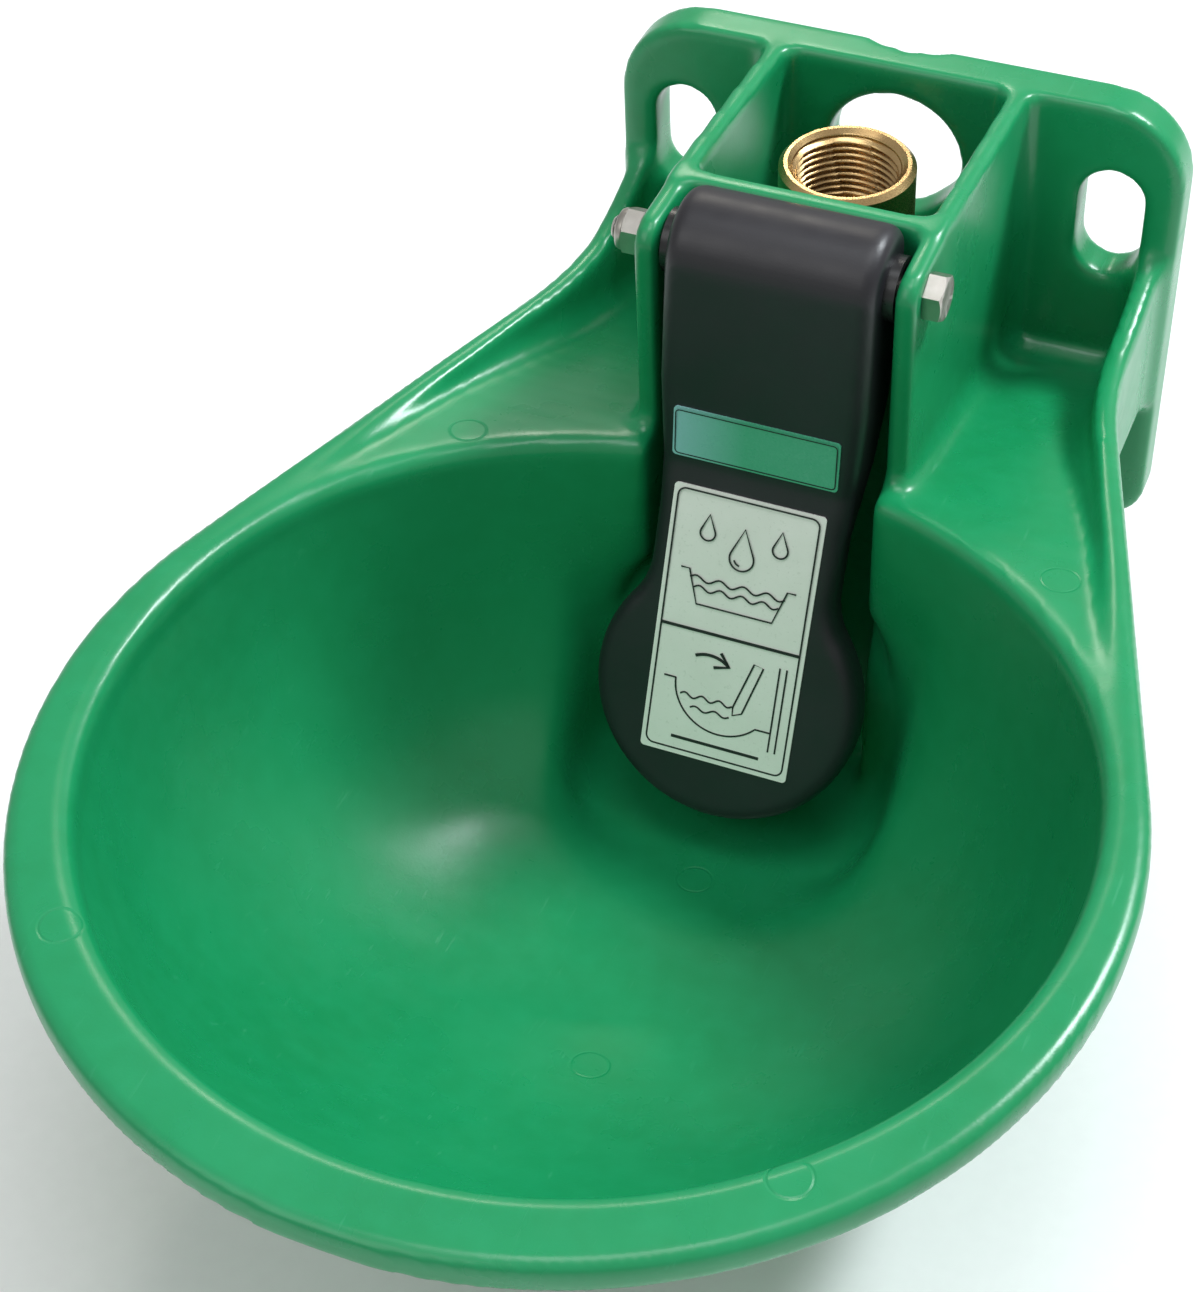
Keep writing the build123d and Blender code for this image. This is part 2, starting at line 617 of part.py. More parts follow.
with BuildPart() as valve_body:
    add(turned(FLANGE_Y, FLANGE_Y + VALVE_FLANGE_THICKNESS, VALVE_FLANGE / 2))
    add(turned(FLANGE_Y, CHAMBER_REAR_Y, CHAMBER_DIAMETER / 2))
    add(turned(NECK_END_Y, FLANGE_Y + 1, NECK_DIAMETER / 2))
    with BuildSketch(Plane.XY.offset(VALVE_Z)):
        with Locations((0, INLET_Y)):
            Circle(INLET_DIAMETER / 2)
    extrude(amount=INLET_RISE)
    chamfer(valve_body.faces().sort_by(Axis.Z)[-1].edges(), 1.0)
    add(turned(NECK_END_Y, SEAT_Y - SEAT_LENGTH, NECK_BORE / 2), mode=Mode.SUBTRACT)
    add(turned(SEAT_Y - SEAT_LENGTH, CHAMBER_REAR_Y, CHAMBER_BORE / 2), mode=Mode.SUBTRACT)
    with BuildSketch(Plane.XY.offset(VALVE_Z)):
        with Locations((0, INLET_Y)):
            Circle(INLET_BORE / 2)
    extrude(amount=INLET_RISE, mode=Mode.SUBTRACT)
    with BuildSketch(Plane.XY.offset(THREAD_FLOOR)):
        with Locations((0, INLET_Y)):
            Circle(INLET_THREAD / 2)
    extrude(amount=INLET_THREAD_LENGTH, mode=Mode.SUBTRACT)
    with BuildSketch(Plane.XY.offset(STRAINER_FLOOR)):
        with Locations((0, INLET_Y)):
            Circle(STRAINER_RADIUS + STRAINER_CLEARANCE)
    extrude(amount=STRAINER_THICKNESS, mode=Mode.SUBTRACT)
    mouth = valve_body.faces().sort_by(Axis.Z)[-1].inner_wires()[0].edges()
    chamfer(mouth, INLET_CHAMFER)

with BuildPart() as inlet_strainer:
    with BuildSketch(Plane.XY.offset(STRAINER_FLOOR)):
        with Locations((0, INLET_Y)):
            Circle(STRAINER_RADIUS)
            Circle(STRAINER_HOLE / 2, mode=Mode.SUBTRACT)
            for ring in range(1, STRAINER_RINGS + 1):
                with PolarLocations(ring * STRAINER_PITCH, 6 * ring):
                    Circle(STRAINER_HOLE / 2, mode=Mode.SUBTRACT)
    extrude(amount=STRAINER_THICKNESS)

with BuildPart() as valve_gasket:
    add(turned(CROSS_REAR_Y, FLANGE_Y, VALVE_FLANGE / 2, NECK_DIAMETER / 2 + NECK_CLEARANCE))

with BuildPart() as lock_washer:
    add(turned(CROSS_FRONT_Y - WASHER_THICKNESS, CROSS_FRONT_Y, WASHER_DIAMETER / 2,
               NECK_DIAMETER / 2 + NECK_CLEARANCE))

with BuildPart() as lock_nut:
    nut_rear = CROSS_FRONT_Y - WASHER_THICKNESS
    with BuildSketch(Plane((0, nut_rear, VALVE_Z), x_dir=(1, 0, 0), z_dir=(0, -1, 0))):
        RegularPolygon(LOCK_NUT_FLATS / 2, 6, major_radius=False)
        Circle(NECK_DIAMETER / 2, mode=Mode.SUBTRACT)
    extrude(amount=LOCK_NUT_HEIGHT)

with BuildPart() as valve_seat:
    add(turned(SEAT_Y - SEAT_LENGTH, SEAT_Y, CHAMBER_BORE / 2, SEAT_BORE / 2))

with BuildPart() as stem_guide:
    with BuildSketch(Plane((0, NECK_END_Y + GUIDE_LENGTH, VALVE_Z), x_dir=(1, 0, 0),
                           z_dir=(0, -1, 0))):
        Circle(NECK_BORE / 2)
        Circle(STEM_DIAMETER / 2 + RUNNING_FIT, mode=Mode.SUBTRACT)
        with PolarLocations((NECK_BORE / 2 + STEM_DIAMETER / 2) / 2, GUIDE_HOLES, start_angle=45):
            Circle(GUIDE_HOLE / 2, mode=Mode.SUBTRACT)
    extrude(amount=GUIDE_LENGTH)

with BuildPart() as valve_stem:
    tip_y = PAD_Y + TIP_GAP
    add(turned(tip_y, POPPET_REAR, STEM_DIAMETER / 2))
    add(turned(POPPET_FRONT, POPPET_REAR, POPPET_DIAMETER / 2))
    add(turned(POPPET_REAR, POPPET_REAR + 3.0, SPRING_DIAMETER / 2 - SPRING_WIRE - 0.6))
    fillet(valve_stem.faces().sort_by(Axis.Y)[0].edges(), TIP_ROUND)

with BuildPart() as poppet_seal:
    add(turned(SEAT_Y, POPPET_FRONT, POPPET_DIAMETER / 2, STEM_DIAMETER / 2))

with BuildPart() as end_plug:
    add(turned(PLUG_FRONT, PLUG_HEAD_Y + 1, CHAMBER_BORE / 2 - 0.2))
    with BuildSketch(Plane((0, PLUG_HEAD_Y + PLUG_HEAD, VALVE_Z), x_dir=(1, 0, 0),
                           z_dir=(0, -1, 0))):
        RegularPolygon(PLUG_FLATS / 2, 6, major_radius=False)
    extrude(amount=PLUG_HEAD)
    # blind bore that carries the spring
    add(turned(PLUG_FRONT, PLUG_HEAD_Y, SPRING_DIAMETER / 2 + 0.3), mode=Mode.SUBTRACT)

with BuildPart() as plug_seal:
    add(turned(CHAMBER_REAR_Y, PLUG_HEAD_Y, CHAMBER_DIAMETER / 2, CHAMBER_BORE / 2 - 0.2))

with BuildPart() as valve_spring:
    spring_start = POPPET_REAR + 0.1
    spring_length = PLUG_HEAD_Y - spring_start - 0.1
    coil = (SPRING_DIAMETER - SPRING_WIRE) / 2
    run = spring_length - SPRING_WIRE
    with BuildLine() as coils:
        Helix(pitch=run / SPRING_COILS, height=run, radius=coil,
              center=(0, spring_start + SPRING_WIRE / 2, VALVE_Z), direction=(0, 1, 0))
    with BuildSketch(Plane(coils.line @ 0, z_dir=coils.line % 0)):
        Circle(SPRING_WIRE / 2)
    sweep()

pieces = {
    "bowl_body": bowl_body,
    "paddle": paddle,
    "name_label": name_label,
    "instruction_label": instruction_label,
    "pivot_bolt": pivot_bolt,
    "pivot_nut": pivot_nut,
    "nut_insert": nut_insert,
    "pivot_bush_left": pivot_bush_left,
    "pivot_bush_right": pivot_bush_right,
    "valve_body": valve_body,
    "inlet_strainer": inlet_strainer,
    "valve_gasket": valve_gasket,
    "lock_washer": lock_washer,
    "lock_nut": lock_nut,
    "valve_seat": valve_seat,
    "stem_guide": stem_guide,
    "valve_stem": valve_stem,
    "poppet_seal": poppet_seal,
    "valve_spring": valve_spring,
    "end_plug": end_plug,
    "plug_seal": plug_seal,
}

os.makedirs("parts", exist_ok=True)
for label, piece in pieces.items():
    piece.part.label = label
    export_step(piece.part, f"parts/{label}.step")
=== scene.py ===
"""Looks of a wall-mounted livestock drinking bowl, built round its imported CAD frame."""

from math import cos, pi, radians, sin, tan

import bpy
import numpy as np
import openvdb as vdb
from mathutils import Matrix, Vector
from mathutils.bvhtree import BVHTree


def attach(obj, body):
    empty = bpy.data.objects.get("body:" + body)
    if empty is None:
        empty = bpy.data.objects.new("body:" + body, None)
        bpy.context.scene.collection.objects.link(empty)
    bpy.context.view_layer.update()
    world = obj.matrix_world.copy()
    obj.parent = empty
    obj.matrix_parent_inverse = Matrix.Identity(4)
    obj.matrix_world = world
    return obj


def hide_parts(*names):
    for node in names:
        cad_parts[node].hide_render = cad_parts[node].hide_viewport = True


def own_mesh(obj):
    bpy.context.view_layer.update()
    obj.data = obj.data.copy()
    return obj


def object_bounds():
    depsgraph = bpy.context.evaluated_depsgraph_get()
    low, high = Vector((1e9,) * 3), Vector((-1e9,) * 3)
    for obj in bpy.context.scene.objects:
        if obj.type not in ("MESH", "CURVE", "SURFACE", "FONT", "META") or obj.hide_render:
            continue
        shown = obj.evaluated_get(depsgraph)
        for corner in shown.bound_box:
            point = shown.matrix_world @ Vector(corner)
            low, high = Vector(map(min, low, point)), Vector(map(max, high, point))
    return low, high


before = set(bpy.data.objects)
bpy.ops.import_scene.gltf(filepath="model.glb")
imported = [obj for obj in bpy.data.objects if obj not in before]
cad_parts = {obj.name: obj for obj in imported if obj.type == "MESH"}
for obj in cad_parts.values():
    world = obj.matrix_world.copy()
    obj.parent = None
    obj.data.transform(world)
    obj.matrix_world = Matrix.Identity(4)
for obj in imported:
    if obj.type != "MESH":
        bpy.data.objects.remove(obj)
cad_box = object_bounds()
MM = 0.001

# ---- camera, fitted to the photograph ----
PICTURE = (1200, 1292)
CAMERA_TURN = 0.42716          # radians about Z
CAMERA_TILT = 0.78106          # radians above the horizon
CAMERA_ROLL = -0.04756
CAMERA_FOCUS = 2699.25         # pixels
CAMERA_CENTRE = (607.31, 647.45)
CAMERA_PLACE = (129.52, -441.93, 315.80)

# ---- sizes in millimetres, as the CAD has them ----
BOWL_Y, BOWL_RADIUS, RIM_Z = -168.2, 84.0, -9.3
PIVOT_Y, PIVOT_Z = -72.6, 23.7
CHEEK_OUT = 26.6
INLET_Y = -38.6
THREAD_RADIUS, THREAD_DEPTH, THREAD_PITCH = 10.48, 1.0, 1.45
THREAD_FLOOR, THREAD_TOP = 8.4, 22.6
BOLT_RADIUS, HEAD_FLATS, HEAD_HEIGHT = 2.5, 8.0, 3.5
NUT_HEIGHT, INSERT_HEIGHT, BOLT_TAIL = 4.0, 1.3, 1.2
BOLT_PITCH, BOLT_THREAD_DEPTH = 0.8, 0.35

# ---- threads and hexagons as drawn, in millimetres ----
THREAD_SEAT = 0.12             # the inlet thread's back stands this far into the bore's wall
THREAD_TURNS, THREAD_ROWS = 120, 8      # steps round the inlet, and rows to a pitch
THREAD_RUN_IN, THREAD_RUN_OUT = 4, 5    # rows over which the crests rise and fall
BOLT_TURNS = 48
BOLT_TIP_CHAMFER = 0.7
SHANK_IN, TAIL_IN = 0.2, 0.5   # overlap of shank with head, and of tail with shank
HEX_TURNS = 72
HEX_CHAMFER_FROM = 0.97        # of half the flats; the corners are cut back from here
HEX_FOOT, HEX_CROWN = 0.93, 0.95        # of half the flats; edges of the two end faces
HEX_CHAMFER_ANGLE = 30
HEAD_RECESS = 0.2
BORE_CHAMFER = 0.25
NUT_CROWN = ((0.0, 3.3), (0.0, 3.9), (0.75, 3.85), (1.15, 3.6), (1.3, 3.3))
NUT_INSERT = ((0.0, 2.5), (0.0, 3.3), (1.22, 3.3), (1.22, 2.75), (1.05, 2.5))

# ---- moulded corners, in millimetres ----
BOWL_VOXEL, BOWL_QUICK_VOXEL = 0.85, 1.15
BOWL_CORNER, BOWL_EDGE = 1.3, 0.95
POCKET_CORNER = 3.4            # where the ribs meet plate and decks
BOWL_EVENING, WELL_EVENING = 70, 280    # rounds of evening out
EVENING_STEP = 0.7             # share of the way to the neighbours' mean in one round
POCKET_ACROSS = (CHEEK_OUT - 4, CHEEK_OUT - 1)      # the pockets' corners come in over these
POCKET_ALONG, POCKET_AHEAD, POCKET_BELOW = (-86, -66), (10.2, 11.6), (-24, -8)
BOWL_EYE = 30                  # above the rim; the faces inside the bowl look towards it
BOWL_BELOW_RIM, BOWL_TO_PADDLE = (6, 14), (-96, -84)
BOWL_REACH = (BOWL_RADIUS - 1, BOWL_RADIUS + 2)
WELL_AHEAD = (112, 130)        # distance from the wall at which the well evens out
PADDLE_VOXEL, PADDLE_QUICK_VOXEL = 0.5, 0.7
PADDLE_CORNER, PADDLE_EDGE = 1.0, 0.7

# ---- label art, in millimetres ----
FINE_LINE, BOLD_LINE, BORDER_LINE = 0.34, 0.62, 0.22
INK_LIFT = 0.04

# ---- floor, in millimetres ----
FLOOR_REACH, FLOOR_GAP = 4000, 0.4

# ---- ejector marks: their places in the photograph, and their rings in millimetres ----
MARK_PIXELS = ((468, 430), (590, 1065), (790, 1178), (60, 925), (1060, 580), (695, 880))
MARK_RADIUS, MARK_LINE, MARK_DEPTH = 3.5, 0.35, 0.08


# ============================================================ meshes
def mesh_object(name, points, faces, smooth_angle=None):
    """An object from points in millimetres and faces of any length."""
    mesh = bpy.data.meshes.new(name)
    mesh.from_pydata([tuple(MM * v for v in p) for p in points], [], [tuple(f) for f in faces])
    mesh.validate()
    obj = bpy.data.objects.new(name, mesh)
    bpy.context.scene.collection.objects.link(obj)
    mesh.polygons.foreach_set("use_smooth", [True] * len(mesh.polygons))
    if smooth_angle is not None:
        mesh.set_sharp_from_angle(angle=radians(smooth_angle))
    return obj


def skin_object(name, skin):
    """An object from a level set's points and quads, turned outwards."""
    points, triangles, quads = skin
    corners = points[quads]
    volume = np.einsum("ij,ij->i", corners[:, 0], np.cross(corners[:, 1], corners[:, 2])).sum()
    if volume < 0:
        quads, triangles = quads[:, ::-1], triangles[:, ::-1]
    mesh = bpy.data.meshes.new(name)
    loops = np.concatenate([triangles.ravel(), quads.ravel()]).astype(np.int32)
    sizes = np.concatenate([np.full(len(triangles), 3), np.full(len(quads), 4)]).astype(np.int32)
    mesh.vertices.add(len(points))
    mesh.vertices.foreach_set("co", (points * MM).astype(np.float32).ravel())
    mesh.loops.add(len(loops))
    mesh.loops.foreach_set("vertex_index", loops)
    mesh.polygons.add(len(sizes))
    mesh.polygons.foreach_set("loop_start", np.concatenate([[0], np.cumsum(sizes)[:-1]]).astype(np.int32))
    mesh.polygons.foreach_set("use_smooth", np.ones(len(sizes), bool))
    mesh.update(calc_edges=True)
    mesh.validate()
    obj = bpy.data.objects.new(name, mesh)
    bpy.context.scene.collection.objects.link(obj)
    return obj


def node_skin(node):
    """A CAD node's points in millimetres and its triangles."""
    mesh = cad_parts[node].data
    points = np.empty(len(mesh.vertices) * 3, np.float32)
    mesh.vertices.foreach_get("co", points)
    mesh.calc_loop_triangles()
    triangles = np.empty(len(mesh.loop_triangles) * 3, np.int32)
    mesh.loop_triangles.foreach_get("vertices", triangles)
    return points.reshape(-1, 3) / MM, triangles.reshape(-1, 3), np.zeros((0, 4), np.int32)


def level_set(skin, voxel, reach):
    """The skin as a distance field that holds at least up to reach from it."""
    points, triangles, quads = skin
    return vdb.FloatGrid.createLevelSetFromPolygons(
        points, triangles=triangles, quads=quads,
        transform=vdb.createLinearTransform(voxelSize=voxel), halfWidth=reach / voxel + 3)


def moved(skin, voxel, distance):
    """The skin moved outwards by a distance."""
    return level_set(skin, voxel, abs(distance)).convertToPolygons(isovalue=distance, adaptivity=0)


def hollows_filled(skin, voxel, radius):
    """Every inner corner gets this radius, as a mould cutter leaves it."""
    return moved(moved(skin, voxel, radius), voxel, -radius)


def edges_eased(skin, voxel, radius):
    """Every outer edge gets this radius."""
    return moved(moved(skin, voxel, -radius), voxel, radius)


def blended(first, second, voxel, weight):
    """Between two skins: the second one where weight(x, y, z) is 1, the first where it is 0."""
    low = np.floor(first[0].min(0) / voxel).astype(int) - 6
    high = np.ceil(first[0].max(0) / voxel).astype(int) + 6
    fields = []
    for skin in (first, second):
        values = np.zeros(tuple(high - low), np.float32)
        level_set(skin, voxel, 2 * voxel).copyToArray(values, ijk=tuple(int(v) for v in low))
        fields.append(values)
    axes = [np.arange(low[i], high[i]) * voxel for i in range(3)]
    share = weight(axes[0][:, None, None], axes[1][None, :, None], axes[2][None, None, :])
    grid = vdb.FloatGrid(5 * voxel)
    grid.copyFromArray(fields[0] + share * (fields[1] - fields[0]), ijk=tuple(int(v) for v in low))
    grid.transform = vdb.createLinearTransform(voxelSize=voxel)
    return grid.convertToPolygons(isovalue=0, adaptivity=0)


def ramp(value, start, end):
    """Rises smoothly from 0 at start to 1 at end."""
    t = np.clip((value - start) / (end - start), 0, 1)
    return t * t * (3 - 2 * t)


def relaxed(skin, weight, rounds):
    """Evens the points out towards their neighbours, as far as weight(points, normals) lets them."""
    points, triangles, quads = skin
    corners = points[quads]
    across = np.cross(corners[:, 2] - corners[:, 0], corners[:, 3] - corners[:, 1])
    volume = np.einsum("ij,ij->i", corners[:, 0], np.cross(corners[:, 1], corners[:, 2])).sum()
    normals = np.zeros_like(points)
    for corner in range(4):
        for axis in range(3):
            normals[:, axis] += np.bincount(quads[:, corner], across[:, axis], len(points))
    normals *= np.sign(volume) / np.maximum(np.linalg.norm(normals, axis=1, keepdims=True), 1e-9)
    share = weight(points, normals)
    live = np.flatnonzero(share > 0)
    start = np.concatenate([quads[:, i] for i in range(4)] + [quads[:, i] for i in range(4)])
    end = np.concatenate([quads[:, (i + 1) % 4] for i in range(4)] + [quads[:, i - 1] for i in range(4)])
    own = share[start] > 0
    start, end = start[own], end[own]
    count = np.maximum(np.bincount(start, minlength=len(points))[live], 1)
    points = points.astype(np.float64)
    for _ in range(rounds):
        for axis in range(3):
            total = np.bincount(start, points[end, axis], len(points))[live]
            points[live, axis] += EVENING_STEP * share[live] * (total / count - points[live, axis])
    return points.astype(np.float32), triangles, quads


# ============================================================ materials
class Shader:
    """A node material with a Principled shader and short calls for its inputs."""

    def __init__(self, name, **inputs):
        self.material = bpy.data.materials.new(name)
        self.material.use_nodes = True
        self.tree = self.material.node_tree
        self.bsdf = self.tree.nodes["Principled BSDF"]
        self.place = self.tree.nodes.new("ShaderNodeTexCoord").outputs["Object"]
        self.heights = []
        for key, value in inputs.items():
            self.bsdf.inputs[key.replace("_", " ")].default_value = value

    def node(self, kind, inputs=(), **settings):
        made = self.tree.nodes.new(kind)
        for key, value in settings.items():
            setattr(made, key, value)
        for key, value in dict(inputs).items():
            if isinstance(value, bpy.types.NodeSocket):
                self.tree.links.new(value, made.inputs[key])
            else:
                made.inputs[key].default_value = value
        return made

    def noise(self, size_mm, detail=3.0, stretch=(1, 1, 1), roughness=0.55):
        """Noise whose features are about size_mm wide."""
        scaled = self.node("ShaderNodeMapping", {"Vector": self.place,
                                                 "Scale": [s / (size_mm * MM) for s in stretch]})
        return self.node("ShaderNodeTexNoise", {"Vector": scaled.outputs[0], "Scale": 1.0,
                                                "Detail": detail, "Roughness": roughness}).outputs["Fac"]

    def mapped(self, value, low, high, to_low=0.0, to_high=1.0):
        return self.node("ShaderNodeMapRange", {"Value": value, "From Min": low, "From Max": high,
                                                "To Min": to_low, "To Max": to_high}).outputs[0]

    def math(self, operation, first, second=0.0):
        made = self.node("ShaderNodeMath", {0: first, 1: second}, operation=operation)
        return made.outputs[0]

    def mixed(self, factor, first, second):
        made = self.node("ShaderNodeMix", data_type="RGBA")
        for socket, value in ((made.inputs[0], factor), (made.inputs[6], first), (made.inputs[7], second)):
            if isinstance(value, bpy.types.NodeSocket):
                self.tree.links.new(value, socket)
            else:
                socket.default_value = value
        return made.outputs[2]

    def colour(self, value):
        self.tree.links.new(value, self.bsdf.inputs["Base Color"])

    def rough(self, value):
        self.tree.links.new(value, self.bsdf.inputs["Roughness"])

    def bump(self, value, depth_mm):
        """Adds a height; depth_mm is how far 1.0 stands up."""
        self.heights.append((value, depth_mm))

    def done(self):
        normal = None
        for value, depth in self.heights:
            inputs = {"Height": value, "Distance": depth * MM, "Strength": 1.0}
            if normal:
                inputs["Normal"] = normal
            normal = self.node("ShaderNodeBump", inputs).outputs[0]
        if normal:
            self.tree.links.new(normal, self.bsdf.inputs["Normal"])
        return self.material


def green_plastic(marks):
    """Moulded polypropylene: even green, slightly waxy, with flow marks, fine grain and light scuffs."""
    shade = Shader("green_polypropylene", Specular_IOR_Level=0.5, Subsurface_Weight=0.06,
                   Subsurface_Radius=(0.1, 1.0, 0.35), Subsurface_Scale=0.004)
    flow = shade.noise(46, 2.5, (1, 1, 0.6))
    fleck = shade.noise(5, 4)
    scuff = shade.mapped(shade.noise(1.1, 3, (1, 0.08, 0.5)), 0.66, 0.74)
    base = shade.mixed(shade.mapped(flow, 0.3, 0.7), (0.0055, 0.235, 0.078, 1), (0.009, 0.275, 0.100, 1))
    base = shade.mixed(shade.mapped(fleck, 0.35, 0.75, 0.0, 0.35), base, (0.012, 0.31, 0.125, 1))
    shade.colour(shade.mixed(shade.math("MULTIPLY", scuff, 0.12), base, (0.05, 0.42, 0.22, 1)))
    wear = shade.mapped(shade.noise(16, 4), 0.3, 0.7, 0.25, 0.33)
    shade.rough(shade.math("ADD", wear, shade.math("MULTIPLY", scuff, 0.10)))
    shade.bump(shade.noise(0.55, 2), 0.012)
    shade.bump(shade.noise(14, 2), 0.06)
    across = shade.node("ShaderNodeSeparateXYZ", {0: shade.place})
    flat = shade.node("ShaderNodeCombineXYZ", {0: across.outputs[0], 1: across.outputs[1]}).outputs[0]
    for mark in marks:
        spot = shade.node("ShaderNodeVectorMath", {0: flat, 1: (mark.x, mark.y, 0)}, operation="DISTANCE")
        off_ring = shade.math("ABSOLUTE", shade.math("SUBTRACT", spot.outputs["Value"], MARK_RADIUS * MM))
        shade.bump(shade.mapped(off_ring, 0.0, MARK_LINE * MM), MARK_DEPTH)
    return shade.done()


def black_plastic():
    """Glass-filled nylon: nearly black, satin, with a fine spark-eroded grain."""
    shade = Shader("black_nylon", Specular_IOR_Level=0.6)
    cloud = shade.mapped(shade.noise(22, 3), 0.3, 0.7)
    shade.colour(shade.mixed(cloud, (0.009, 0.0085, 0.012, 1), (0.014, 0.013, 0.018, 1)))
    shade.rough(shade.mapped(shade.noise(6, 5), 0.3, 0.7, 0.38, 0.48))
    shade.bump(shade.noise(0.35, 2), 0.016)
    shade.bump(shade.noise(9, 2), 0.05)
    return shade.done()


def metal(name, light, dark, roughness, grain_mm, stretch, depth_mm):
    """Machined metal with tool marks and slightly uneven tarnish."""
    shade = Shader(name, Metallic=1.0)
    tarnish = shade.mapped(shade.noise(7, 5), 0.35, 0.75)
    shade.colour(shade.mixed(tarnish, (*light, 1), (*dark, 1)))
    marks = shade.noise(grain_mm, 3, stretch)
    shade.rough(shade.mapped(marks, 0.3, 0.7, roughness - 0.06, roughness + 0.08))
    shade.bump(marks, depth_mm)
    return shade.done()


def soft(name, light, dark, roughness, grain_mm, depth_mm, **inputs):
    """Rubber and plain plastics: a mottled colour and a fine surface grain."""
    shade = Shader(name, **inputs)
    shade.colour(shade.mixed(shade.mapped(shade.noise(4, 4), 0.3, 0.7), (*light, 1), (*dark, 1)))
    shade.rough(shade.mapped(shade.noise(2, 4), 0.3, 0.7, roughness - 0.05, roughness + 0.05))
    shade.bump(shade.noise(grain_mm, 2), depth_mm)
    return shade.done()


def teal_film():
    """Printed metallic film, paler and bluer towards its left end."""
    shade = Shader("teal_film", Specular_IOR_Level=0.5, Coat_Weight=0.6, Coat_Roughness=0.12)
    across = shade.node("ShaderNodeSeparateXYZ", {0: shade.place}).outputs[0]
    left = shade.mapped(across, -16 * MM, -2 * MM)
    base = shade.mixed(left, (0.30, 0.60, 0.62, 1), (0.075, 0.43, 0.25, 1))
    speck = shade.mapped(shade.noise(0.5, 2), 0.45, 0.75, 0.0, 0.25)
    shade.colour(shade.mixed(speck, base, (0.18, 0.55, 0.40, 1)))
    shade.rough(shade.mapped(shade.noise(3, 4), 0.3, 0.7, 0.24, 0.36))
    shade.bump(shade.noise(2.5, 3), 0.012)
    return shade.done()


def paper_film():
    """Off-white printed film, a little yellowed and dusty."""
    shade = Shader("white_film", Specular_IOR_Level=0.5, Coat_Weight=0.4, Coat_Roughness=0.2)
    cloud = shade.mapped(shade.noise(9, 5), 0.3, 0.75)
    base = shade.mixed(cloud, (0.93, 0.94, 0.89, 1), (0.86, 0.88, 0.82, 1))
    speck = shade.mapped(shade.noise(0.7, 2), 0.62, 0.75, 0.0, 0.25)
    shade.colour(shade.mixed(speck, base, (0.45, 0.5, 0.42, 1)))
    shade.rough(shade.mapped(shade.noise(3, 4), 0.3, 0.7, 0.34, 0.46))
    shade.bump(shade.noise(2.5, 3), 0.012)
    return shade.done()


BRASS = metal("brass", (0.63, 0.44, 0.21), (0.44, 0.28, 0.12), 0.27, 0.5, (1, 1, 9), 0.010)
STEEL = metal("stainless_steel", (0.50, 0.48, 0.44), (0.34, 0.32, 0.28), 0.34, 0.3, (6, 1, 1), 0.008)
MESH_STEEL = metal("stainless_sheet", (0.60, 0.60, 0.58), (0.44, 0.43, 0.41), 0.35, 0.6, (1, 1, 1), 0.006)
SPRING_STEEL = metal("spring_steel", (0.55, 0.55, 0.56), (0.40, 0.40, 0.41), 0.3, 0.3, (1, 4, 1), 0.006)
RUBBER = soft("rubber", (0.016, 0.016, 0.017), (0.028, 0.028, 0.029), 0.62, 0.4, 0.02)
WHITE_ACETAL = soft("white_acetal", (0.74, 0.74, 0.71), (0.66, 0.66, 0.62), 0.36, 0.5, 0.006,
                    Subsurface_Weight=0.1, Subsurface_Scale=0.003)
BLACK_ACETAL = soft("black_acetal", (0.012, 0.012, 0.013), (0.02, 0.02, 0.021), 0.3, 0.5, 0.006)
BLUE_NYLON = soft("blue_nylon", (0.42, 0.46, 0.5), (0.30, 0.34, 0.42), 0.45, 0.4, 0.01)
INK = soft("black_ink", (0.010, 0.010, 0.011), (0.022, 0.022, 0.023), 0.42, 0.3, 0.004)
BLACK_NYLON = black_plastic()

NODE_MATERIALS = {
    "name_label": teal_film(), "instruction_label": paper_film(),
    "pivot_bush_left": BLACK_ACETAL, "pivot_bush_right": BLACK_ACETAL,
    "valve_body": BRASS, "inlet_strainer": MESH_STEEL, "valve_gasket": RUBBER,
    "lock_washer": STEEL, "lock_nut": BRASS, "valve_seat": WHITE_ACETAL, "stem_guide": WHITE_ACETAL,
    "valve_stem": STEEL, "poppet_seal": RUBBER, "valve_spring": SPRING_STEEL,
    "end_plug": BRASS, "plug_seal": RUBBER,
}
for node, material in NODE_MATERIALS.items():
    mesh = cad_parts[node].data
    mesh.materials.clear()
    mesh.materials.append(material)


def dress(obj, material, body, slot, *nodes):
    """Gives a new piece its material and body, and hides the nodes it stands for; its slot is not used."""
    obj.data.materials.append(material)
    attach(obj, body)
    if nodes:
        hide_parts(*nodes)
    return obj


# ============================================================ camera
def camera_axes():
    """Right, up and back of the camera."""
    back = Vector((sin(CAMERA_TURN) * cos(CAMERA_TILT), -cos(CAMERA_TURN) * cos(CAMERA_TILT),
                   sin(CAMERA_TILT)))
    right = Vector((cos(CAMERA_TURN), sin(CAMERA_TURN), 0))
    up = back.cross(right)
    c, s = cos(CAMERA_ROLL), sin(CAMERA_ROLL)
    return c * right + s * up, c * up - s * right, back


RIGHT, UP, BACK = camera_axes()
EYE = Vector(CAMERA_PLACE) * MM
camera = bpy.data.cameras.new("camera")
camera.sensor_width = 36.0
camera.lens = CAMERA_FOCUS * camera.sensor_width / PICTURE[1]
camera.shift_x = (PICTURE[0] / 2 - CAMERA_CENTRE[0]) / PICTURE[1]
camera.shift_y = (CAMERA_CENTRE[1] - PICTURE[1] / 2) / PICTURE[1]
camera.clip_start, camera.clip_end = 0.01, 20.0
viewer = bpy.data.objects.new("camera", camera)
bpy.context.scene.collection.objects.link(viewer)
viewer.matrix_world = Matrix.Translation(EYE) @ Matrix((RIGHT, UP, BACK)).transposed().to_4x4()
bpy.context.scene.camera = viewer
bpy.context.scene.view_settings.view_transform = "Standard"


